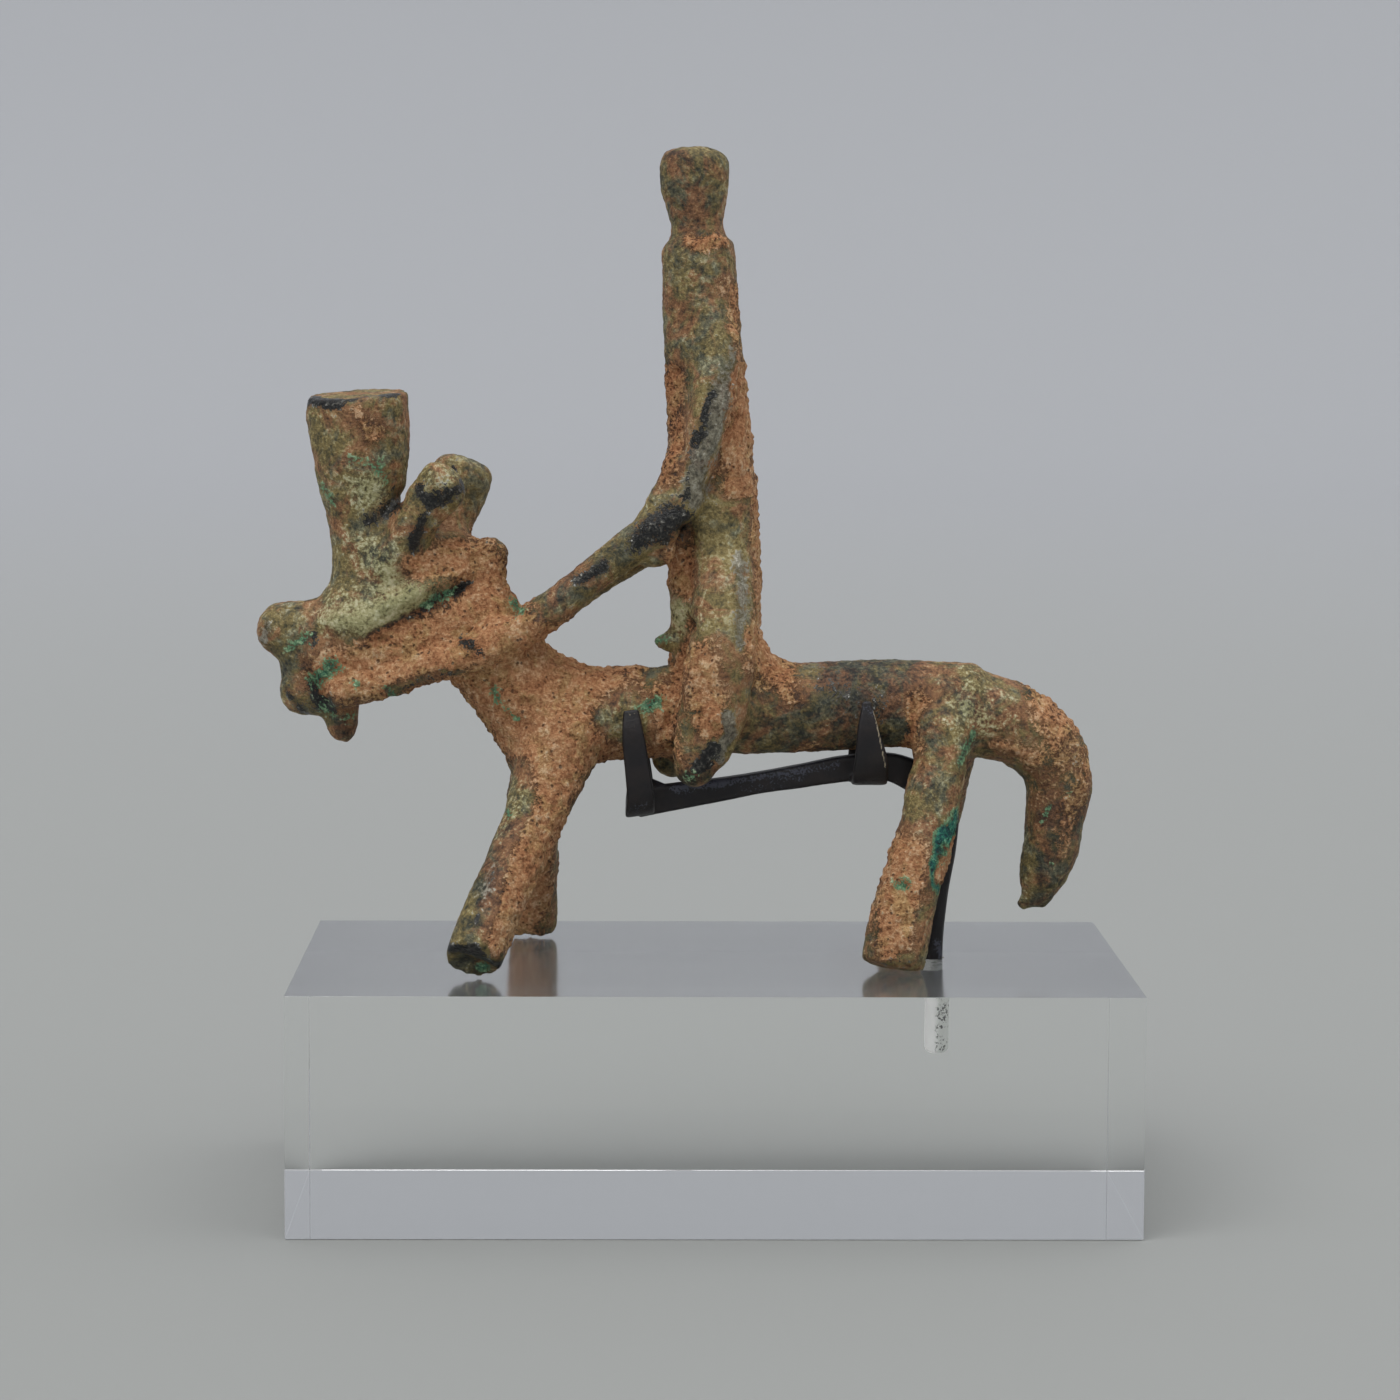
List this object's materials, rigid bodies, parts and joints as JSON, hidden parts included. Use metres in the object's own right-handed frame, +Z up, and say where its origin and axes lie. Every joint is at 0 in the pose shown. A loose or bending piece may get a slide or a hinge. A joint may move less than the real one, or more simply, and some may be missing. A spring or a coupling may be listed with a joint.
{
  "type": "bronze horse and rider figurine on a display mount",
  "caption": "Small corroded bronze horse and rider with a tall headdress, resting in a black metal cradle whose stem stands in a clear acrylic block.",
  "frame": {"origin": "centre of the block's underside", "axes": "+Z up, the horse faces -X, its left side faces -Y"},
  "size_m": [0.0937, 0.0508, 0.113],
  "materials": {
    "bronze": "corroded bronze with an orange-brown crust, an olive patina and dark worn patches",
    "black_paint": "satin black paint, scratched on its edges",
    "clear_acrylic": "clear, polished"
  },
  "bodies": {
    "root": {"horse_and_rider": "bronze", "cradle": "black_paint", "acrylic_block": "clear_acrylic"}
  },
  "joints": []
}
